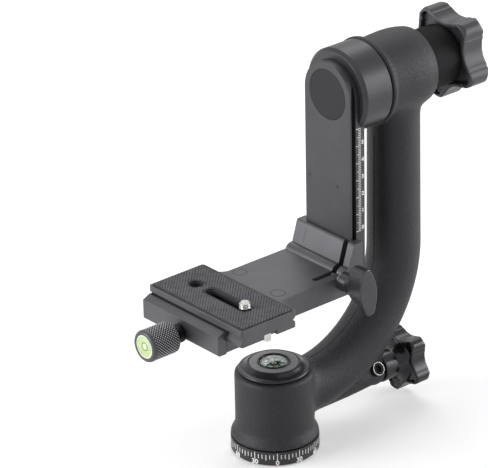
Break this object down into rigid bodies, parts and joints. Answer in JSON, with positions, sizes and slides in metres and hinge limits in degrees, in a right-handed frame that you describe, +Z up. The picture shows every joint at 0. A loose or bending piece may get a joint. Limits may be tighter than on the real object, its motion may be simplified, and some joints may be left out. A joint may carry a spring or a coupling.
{
  "type": "gimbal tripod head",
  "caption": "Side-mount gimbal tripod head: panning base, J-shaped arm, swinging dovetail rail with height-sliding bracket, quick-release clamp and camera plate.",
  "frame": {"origin": "pan axis at the underside of the base, where the tripod stud enters", "axes": "+Z up along the pan axis; +X from the pan axis towards the column and the star knobs, along the tilt axis; -Y towards the wing knob"},
  "size_m": [0.2263, 0.0764, 0.2217],
  "materials": {
    "arm_coat": "fine textured black powder coat",
    "anodised": "satin black anodised aluminium",
    "cover_black": "fine matt black",
    "knob_plastic": "satin black moulded plastic",
    "knob_metal": "black knurled metal",
    "sleeve_black": "dark matt, fine texture",
    "pad_rubber": "black ribbed rubber",
    "steel": "bright turned steel",
    "brass": "plain turned",
    "washer_white": "low-friction plastic",
    "compass_black": "black case",
    "card_green": "printed green card",
    "clear_lens": "clear dome",
    "level_white": "pale case",
    "level_green": "green liquid vial"
  },
  "bodies": {
    "base": {"base_plate": "anodised", "degree_ring": "anodised", "pan_spindle": "steel", "base_screws": "steel", "pan_thrust_washer": "washer_white", "pan_retainer": "steel", "pan_retainer_screw": "steel"},
    "arm": {"arm_casting": "arm_coat", "pan_bush_lower": "brass", "pan_bush_upper": "brass", "base_cap": "anodised", "cap_inlay": "cover_black", "compass_case": "compass_black", "compass_pivot": "brass", "compass_lens": "clear_lens", "tilt_bush_front": "brass", "tilt_bush_rear": "brass", "pan_thread_insert": "brass", "rod_keeper_screw": "steel"},
    "compass": {"compass_card": "card_green"},
    "pan_brake": {"pan_brake_pad": "washer_white", "pan_push_rod": "steel"},
    "pan_knob": {"pan_star_knob": "knob_plastic", "pan_star_bolt": "steel"},
    "swing": {"hub_disc": "anodised", "tilt_shaft": "steel", "swing_rail": "anodised", "rail_screws": "steel", "rail_cover": "cover_black"},
    "tilt_clamp": {"tilt_washer": "washer_white", "tilt_sleeve": "sleeve_black"},
    "tilt_knob": {"tilt_star_knob": "knob_plastic", "tilt_star_insert": "brass", "tilt_star_bolt": "steel"},
    "bracket": {"elbow_bracket": "anodised"},
    "wing_seat": {"wing_washer": "steel"},
    "wing": {"wing_knob": "knob_plastic", "wing_screw": "steel"},
    "jaw": {"clamp_jaw": "anodised", "jaw_guide_pins": "steel"},
    "clamp_knob": {"clamp_knob": "knob_metal", "clamp_screw": "steel", "level_case": "level_white", "level_vial": "level_green"},
    "plate": {"camera_plate": "anodised", "plate_pad": "pad_rubber", "plate_stop_screw": "steel"},
    "keeper": {"screw_keeper": "steel"},
    "camera_screw": {"camera_screw": "steel"}
  },
  "joints": [
    {"name": "pan", "type": "hinge", "parent": "base", "child": "arm", "pos_m": [0, 0, 0.0086], "axis": [0, 0, 1], "continuous": true},
    {"name": "compass_turn", "type": "hinge", "parent": "arm", "child": "compass", "pos_m": [0, 0, 0.05], "axis": [0, 0, 1], "continuous": true},
    {"name": "pan_brake_slide", "type": "slide", "parent": "arm", "child": "pan_brake", "axis": [1, 0, 0], "range_m": [0, 0.001]},
    {"name": "pan_knob_turn", "type": "hinge", "parent": "pan_brake", "child": "pan_knob", "pos_m": [0.1, 0, 0.0205], "axis": [1, 0, 0], "range_deg": [0, 360]},
    {"name": "tilt", "type": "hinge", "parent": "arm", "child": "swing", "pos_m": [0.07, 0, 0.1969], "axis": [1, 0, 0], "continuous": true},
    {"name": "tilt_clamp_slide", "type": "slide", "parent": "swing", "child": "tilt_clamp", "axis": [1, 0, 0], "range_m": [0, 0.0015]},
    {"name": "tilt_knob_turn", "type": "hinge", "parent": "tilt_clamp", "child": "tilt_knob", "pos_m": [0.13, 0, 0.1969], "axis": [1, 0, 0], "range_deg": [0, 360]},
    {"name": "bracket_slide", "type": "slide", "parent": "swing", "child": "bracket", "axis": [0, 0, 1], "range_m": [0, 0.06]},
    {"name": "wing_seat_slide", "type": "slide", "parent": "bracket", "child": "wing_seat", "axis": [0, -1, 0], "range_m": [0, 0.0008]},
    {"name": "wing_turn", "type": "hinge", "parent": "wing_seat", "child": "wing", "pos_m": [0.02975, -0.03, 0.0987], "axis": [0, -1, 0], "range_deg": [0, 360]},
    {"name": "jaw_slide", "type": "slide", "parent": "bracket", "child": "jaw", "axis": [-1, 0, 0], "range_m": [0, 0.004]},
    {"name": "clamp_knob_turn", "type": "hinge", "parent": "jaw", "child": "clamp_knob", "pos_m": [-0.08, 0, 0.0913], "axis": [-1, 0, 0], "range_deg": [0, 1800]},
    {"name": "plate_slide", "type": "slide", "parent": "bracket", "child": "plate", "axis": [0, 1, 0], "range_m": [-0.03, 0.007]},
    {"name": "keeper_slide", "type": "slide", "parent": "plate", "child": "keeper", "axis": [0, 1, 0], "range_m": [0, 0.0275]},
    {"name": "camera_screw_turn", "type": "hinge", "parent": "keeper", "child": "camera_screw", "pos_m": [-0.0403, -0.0244, 0.104], "axis": [0, 0, 1], "continuous": true}
  ],
  "couplings": [
    {"joint": "pan_knob_turn", "follows": "pan_brake_slide", "rad_per_m": 6283.2},
    {"joint": "tilt_knob_turn", "follows": "tilt_clamp_slide", "rad_per_m": 4188.8},
    {"joint": "wing_turn", "follows": "wing_seat_slide", "rad_per_m": 7854},
    {"joint": "clamp_knob_turn", "follows": "jaw_slide", "rad_per_m": 7854}
  ]
}
